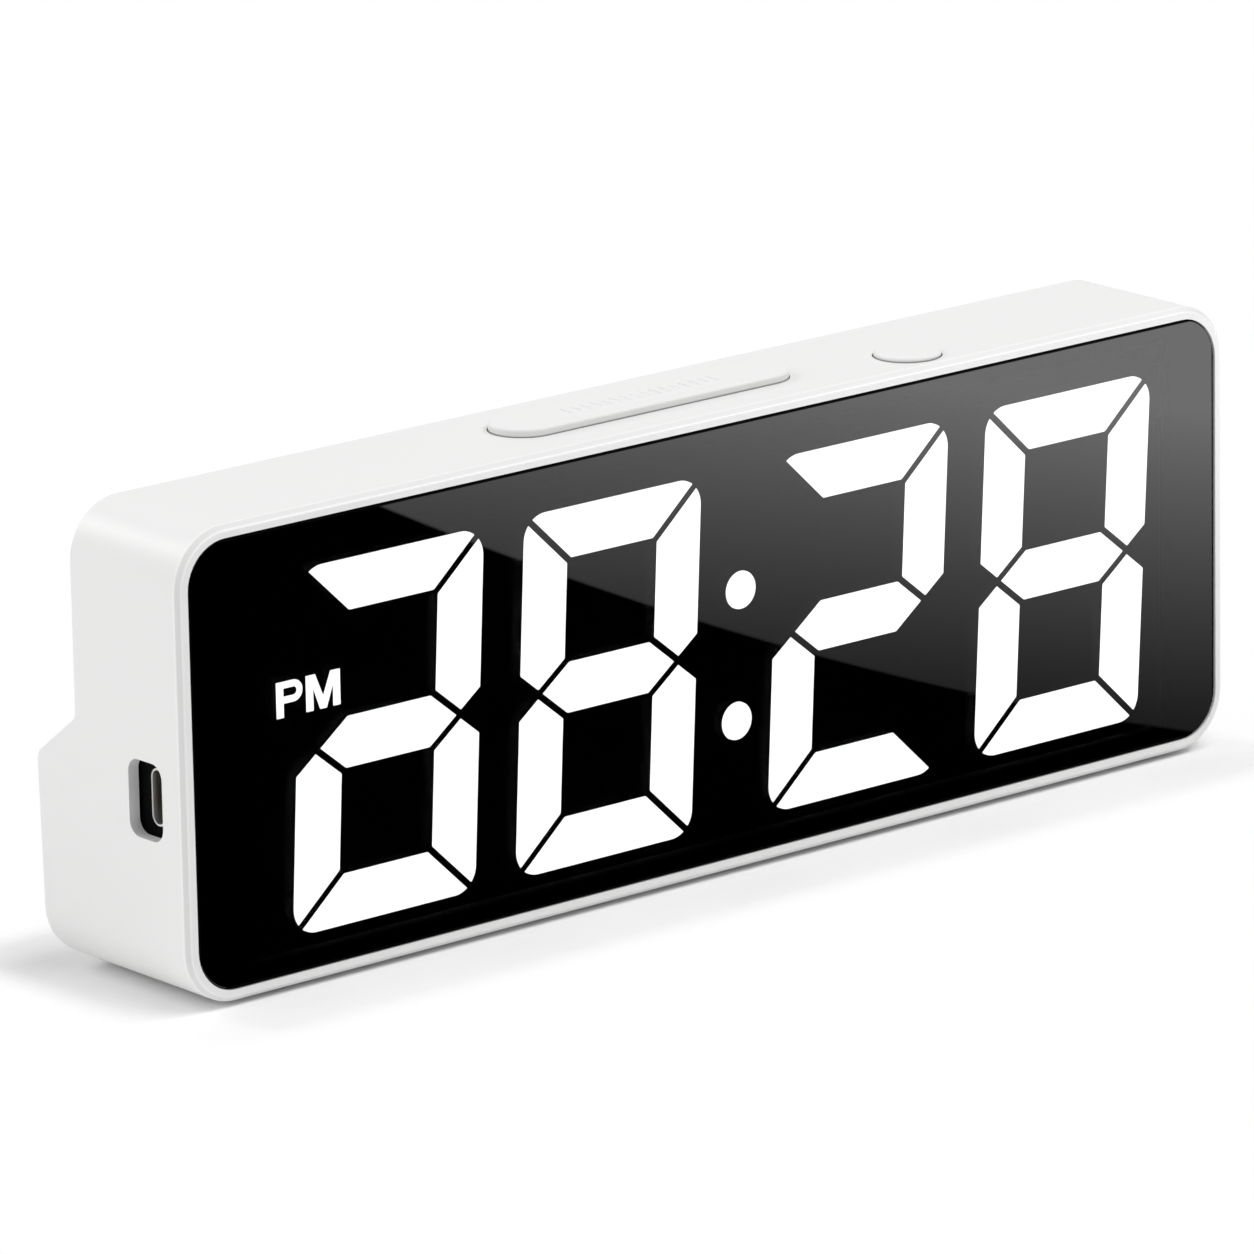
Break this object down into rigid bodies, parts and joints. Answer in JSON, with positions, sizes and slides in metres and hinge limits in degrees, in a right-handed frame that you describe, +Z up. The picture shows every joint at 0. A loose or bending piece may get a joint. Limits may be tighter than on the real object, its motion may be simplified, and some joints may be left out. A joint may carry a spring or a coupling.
{
  "type": "digital alarm clock",
  "caption": "Free-standing digital alarm clock: white stepped case, dark lens over a lit seven-segment display, snooze bar, push buttons, side charging socket and battery door.",
  "frame": {"origin": "on the table under the middle of the clock's box", "axes": "+X to the right of a viewer facing the display, +Y to the back, +Z up"},
  "size_m": [0.21, 0.0358, 0.0751],
  "materials": {
    "white_case": "satin moulded",
    "white_control": "satin moulded",
    "tinted_lens": "polished, dark tint",
    "black_tape": "foam tape",
    "black_plastic": "fine texture",
    "lit_segment": "diffusing",
    "dark_segment": "smoked",
    "circuit_board": "solder mask",
    "led_body": "resin",
    "switch_plastic": "moulded",
    "bright_metal": "plated",
    "screw_steel": "zinc plated",
    "cell_wrap": "plain shrink wrap",
    "grey_rubber": "matt"
  },
  "bodies": {
    "case": {"main_housing": "white_case", "rear_cover": "white_case", "front_lens": "tinted_lens", "lens_tape": "black_tape", "display_reflector": "black_plastic", "digit_1_segments": "lit_segment", "digit_2_segments": "lit_segment", "digit_3_segments": "lit_segment", "digit_4_segments": "lit_segment", "unlit_segments": "dark_segment", "colon_dots": "lit_segment", "pm_window": "dark_segment", "display_board": "circuit_board", "segment_leds": "led_body", "driver_chip": "black_plastic", "crystal": "bright_metal", "capacitor": "bright_metal", "buzzer": "black_plastic", "usb_shell": "bright_metal", "usb_tongue": "black_plastic", "port_collar": "black_plastic", "top_switches": "switch_plastic", "back_switches": "switch_plastic", "battery_cells": "cell_wrap", "battery_contacts": "bright_metal", "case_screws": "screw_steel", "board_screws": "screw_steel", "rubber_feet": "grey_rubber"},
    "snooze_bar": {"snooze_bar": "white_control"},
    "alarm_button": {"alarm_button": "white_control"},
    "set_button": {"set_button": "white_control"},
    "up_button": {"up_button": "white_control"},
    "down_button": {"down_button": "white_control"},
    "battery_door": {"battery_door": "white_case"}
  },
  "joints": [
    {"name": "snooze_press", "type": "slide", "parent": "case", "child": "snooze_bar", "axis": [0, 0, -1], "range_m": [0, 0.0008], "stiffness_N_per_m": 2500},
    {"name": "alarm_press", "type": "slide", "parent": "case", "child": "alarm_button", "axis": [0, 0, -1], "range_m": [0, 0.0005], "stiffness_N_per_m": 2500},
    {"name": "set_press", "type": "slide", "parent": "case", "child": "set_button", "axis": [0, -1, 0], "range_m": [0, 0.0005], "stiffness_N_per_m": 2500},
    {"name": "up_press", "type": "slide", "parent": "case", "child": "up_button", "axis": [0, -1, 0], "range_m": [0, 0.0005], "stiffness_N_per_m": 2500},
    {"name": "down_press", "type": "slide", "parent": "case", "child": "down_button", "axis": [0, -1, 0], "range_m": [0, 0.0005], "stiffness_N_per_m": 2500},
    {"name": "door_hinge", "type": "hinge", "parent": "case", "child": "battery_door", "pos_m": [0, 0.0172, 0.00825], "axis": [-1, 0, 0], "range_deg": [0, 90]}
  ]
}
